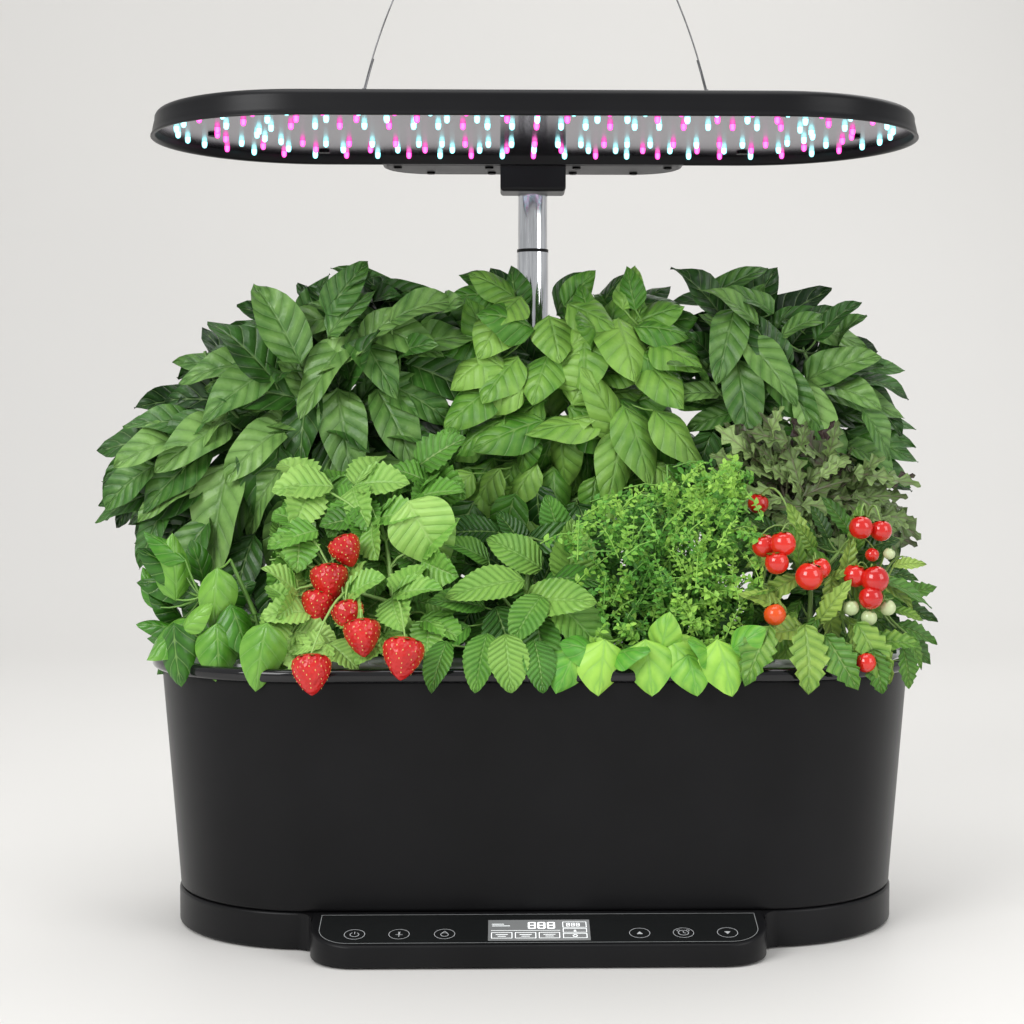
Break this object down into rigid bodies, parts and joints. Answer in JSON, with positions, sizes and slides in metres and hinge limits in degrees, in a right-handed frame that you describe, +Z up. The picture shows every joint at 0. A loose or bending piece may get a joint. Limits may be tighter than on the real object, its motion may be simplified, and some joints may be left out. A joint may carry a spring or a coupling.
{
  "type": "countertop hydroponic garden",
  "caption": "Stadium-shaped countertop water garden: dark tank on a low base with a touch console, planting deck full of herbs and fruit, telescopic chrome mast and grow lamp hung on two wires.",
  "frame": {"origin": "centre of the tank's footprint at table level, where the rubber feet stand", "axes": "+Z up, -Y towards the control console, +X to the user's right"},
  "size_m": [0.481, 0.2566, 0.5549],
  "materials": {
    "base_plastic": "fine satin moulding",
    "cover_plastic": "matt",
    "steel_screws": "plain",
    "foot_rubber": "soft matt",
    "console_glass": "polished black glass sheet",
    "display_body": "glossy",
    "circuit_board": "solder resist",
    "inlet_metal": "plated",
    "socket_plastic": "satin",
    "mast_chrome": "polished",
    "bushing_plastic": "matt",
    "head_plastic": "satin",
    "lamp_plastic": "satin",
    "lamp_panel": "polished, slightly dark mirror",
    "black_screws": "blackened",
    "white_emitter": "emissive cool white lens",
    "red_emitter": "emissive magenta lens",
    "arm_plastic": "satin",
    "eye_steel": "bright",
    "steel_wire": "drawn",
    "tank_plastic": "fine satin moulding",
    "pump_plastic": "matt",
    "deck_plastic": "satin",
    "rim_plastic": "glossy",
    "basket_plastic": "satin",
    "sponge": "peat foam",
    "dark_leaf": "living leaf",
    "bright_leaf": "living leaf, waxy",
    "berry_leaf": "living leaf",
    "mint_leaf": "living leaf",
    "fine_leaf": "living leaf",
    "purple_leaf": "living leaf, greyish purple",
    "tomato_leaf": "living leaf"
  },
  "bodies": {
    "base": {"base_housing": "base_plastic", "base_cover": "cover_plastic", "base_screws": "steel_screws", "rubber_feet": "foot_rubber", "control_glass": "console_glass", "display_module": "display_body", "touch_board": "circuit_board", "main_board": "circuit_board", "power_inlet": "inlet_metal", "mast_socket": "socket_plastic", "mast_lower": "mast_chrome", "lower_bushing": "bushing_plastic"},
    "mast": {"mast_middle": "mast_chrome", "middle_bushing": "bushing_plastic"},
    "lamp": {"mast_upper": "mast_chrome", "mast_head": "head_plastic", "lamp_housing": "lamp_plastic", "led_panel": "lamp_panel", "panel_screws": "black_screws", "white_leds": "white_emitter", "red_leds": "red_emitter", "arm_cover": "arm_plastic", "arm_screws": "black_screws", "hanger_eyes": "eye_steel", "hanging_wire_left": "steel_wire", "hanging_wire_right": "steel_wire", "wire_loops": "steel_wire", "wire_sleeves": "eye_steel"},
    "tank": {"tank_shell": "tank_plastic", "pump_body": "pump_plastic", "pump_filter": "pump_plastic", "suction_cups": "foot_rubber", "pump_riser": "pump_plastic"},
    "deck": {"grow_deck": "deck_plastic", "rim_band": "rim_plastic", "grow_baskets": "basket_plastic", "growth_sponges": "sponge", "pod_collars": "deck_plastic", "basil_rear_left": "dark_leaf", "basil_rear_centre": "bright_leaf", "basil_rear_right": "dark_leaf", "basil_front_left": "bright_leaf", "strawberry": "berry_leaf", "mint": "mint_leaf", "parsley": "fine_leaf", "purple_herb": "purple_leaf", "tomato": "tomato_leaf"}
  },
  "joints": [
    {"name": "tank_lift", "type": "slide", "parent": "base", "child": "tank", "axis": [0, 0, 1], "range_m": [0, 0.02]},
    {"name": "deck_lift", "type": "slide", "parent": "tank", "child": "deck", "axis": [0, 0, 1], "range_m": [0, 0.015]},
    {"name": "mast_extend", "type": "slide", "parent": "base", "child": "mast", "axis": [0, 0, 1], "range_m": [-0.01, 0.09]},
    {"name": "lamp_extend", "type": "slide", "parent": "mast", "child": "lamp", "axis": [0, 0, 1], "range_m": [-0.015, 0.09]}
  ]
}
